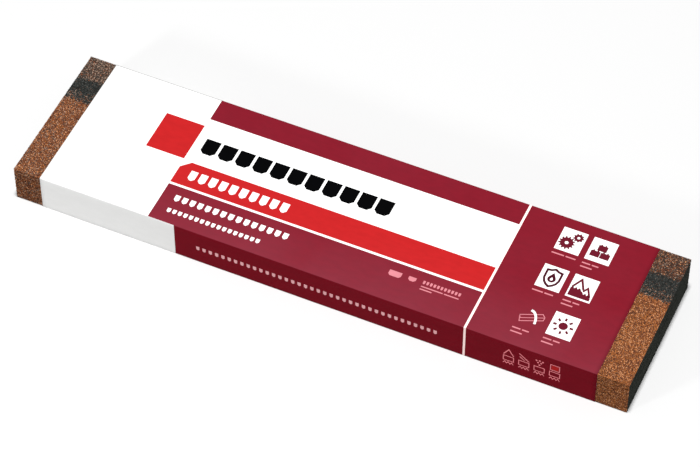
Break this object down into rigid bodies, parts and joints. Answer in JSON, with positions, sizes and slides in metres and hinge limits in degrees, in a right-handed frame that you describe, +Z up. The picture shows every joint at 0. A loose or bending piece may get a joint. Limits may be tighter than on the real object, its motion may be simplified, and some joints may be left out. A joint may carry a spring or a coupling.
{
  "type": "asphalt shingle bundle",
  "caption": "Flat stack of long asphalt roofing shingles, held by a printed film sleeve that leaves both granule-faced ends bare.",
  "frame": {"origin": "middle of the bundle's footprint, at floor level", "axes": "+X along the bundle, towards the end with the longer bare stretch; +Y across it, towards the rear side that carries the sleeve's lap; +Z up"},
  "size_m": [1.0004, 0.2573, 0.0666],
  "materials": {
    "shingle": "matte",
    "sleeve_film": "satin"
  },
  "bodies": {
    "root": {"shingle_sheets": "shingle", "sleeve": "sleeve_film"}
  },
  "joints": []
}
